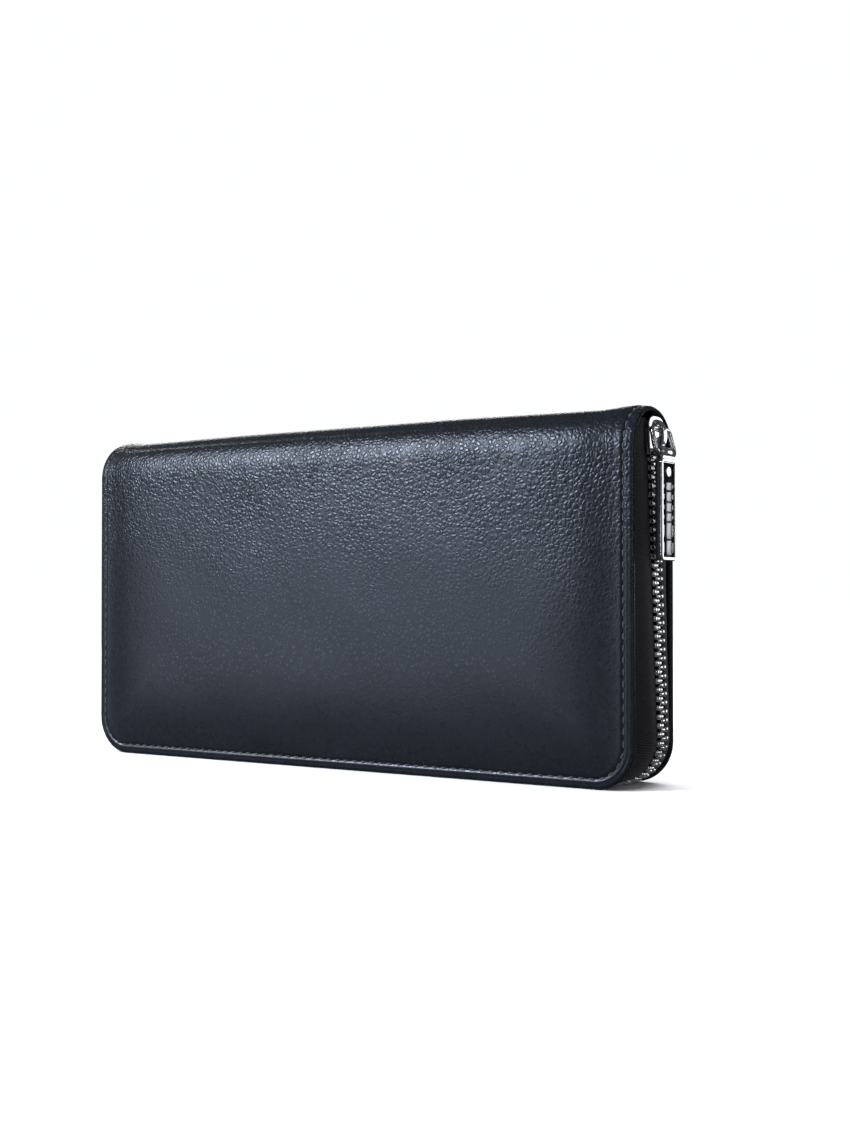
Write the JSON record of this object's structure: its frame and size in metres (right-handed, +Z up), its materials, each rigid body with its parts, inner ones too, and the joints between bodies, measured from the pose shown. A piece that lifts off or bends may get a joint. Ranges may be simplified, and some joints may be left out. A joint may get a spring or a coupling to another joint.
{
  "type": "long wallet",
  "caption": "Zip-around long wallet of grained leather with padded covers, card slots, gussets and a zipped coin pocket.",
  "frame": {"origin": "bottom centre of the closed wallet standing on its long zip edge, in the middle plane between the covers", "axes": "+X along the wallet towards the zip slider, -Y towards the front cover, +Z up towards the spine"},
  "size_m": [0.2079, 0.03, 0.105],
  "materials": {
    "leather": "pebble grain, satin",
    "inner_leather": "fine grain, satin",
    "lining": "woven, matt",
    "foam": "open cell, matt",
    "board": "matt",
    "tape": "herringbone weave, matt",
    "teeth": "polished",
    "hardware": "polished plate over cast zinc"
  },
  "bodies": {
    "back_half": {"back_cover_leather": "leather", "back_foam_pad": "foam", "back_stiffener_board": "board", "back_lining": "lining", "spine_lining": "lining", "back_zip_tape": "tape", "back_teeth": "teeth", "back_top_stop": "teeth", "bottom_stop": "teeth", "right_gusset": "inner_leather", "left_gusset": "inner_leather", "back_card_panel": "inner_leather", "back_card_slot_1": "inner_leather", "back_card_slot_2": "inner_leather", "back_card_slot_3": "inner_leather", "back_card_slot_4": "inner_leather"},
    "front_half": {"front_cover_leather": "leather", "front_foam_pad": "foam", "front_stiffener_board": "board", "front_lining": "lining", "front_zip_tape": "tape", "front_teeth": "teeth", "front_top_stop": "teeth", "front_card_panel": "inner_leather", "front_card_slot_1": "inner_leather", "front_card_slot_2": "inner_leather", "front_card_slot_3": "inner_leather", "front_card_slot_4": "inner_leather"},
    "coin_pocket": {"coin_front_wall": "inner_leather", "coin_back_wall": "inner_leather", "coin_pocket_spacer": "lining", "coin_zip_lower_tape": "tape", "coin_zip_upper_tape": "tape", "coin_zip_teeth": "teeth"},
    "coin_slider": {"coin_zip_slider": "hardware"},
    "slider": {"zip_slider": "hardware"},
    "ring": {"pull_ring": "hardware"},
    "tab": {"pull_tab": "hardware"}
  },
  "joints": [
    {"name": "cover_open", "type": "hinge", "parent": "back_half", "child": "front_half", "pos_m": [0, 0, 0.105], "axis": [-1, 0, 0], "range_deg": [0, 60], "deforming": ["spine_lining", "right_gusset", "left_gusset", "front_zip_tape"]},
    {"name": "pocket_swing", "type": "hinge", "parent": "back_half", "child": "coin_pocket", "pos_m": [0, 0, 0.105], "axis": [-1, 0, 0], "range_deg": [0, 30]},
    {"name": "slider_travel", "type": "slide", "parent": "back_half", "child": "slider", "axis": [0.0358, 0, -0.9994], "range_m": [0, 0.06], "deforming": ["front_teeth", "back_teeth"]},
    {"name": "ring_swing", "type": "hinge", "parent": "slider", "child": "ring", "pos_m": [0.10201, 0, 0.09781], "axis": [0, -1, 0], "range_deg": [0, 110]},
    {"name": "tab_swing", "type": "hinge", "parent": "ring", "child": "tab", "pos_m": [0.1036, 0, 0.0915], "axis": [0, -1, 0], "range_deg": [-2, 65]},
    {"name": "coin_slider_travel", "type": "slide", "parent": "coin_pocket", "child": "coin_slider", "axis": [-1, 0, 0], "range_m": [0, 0.136]}
  ],
  "couplings": [
    {"joint": "pocket_swing", "follows": "cover_open", "ratio": 0.5}
  ]
}
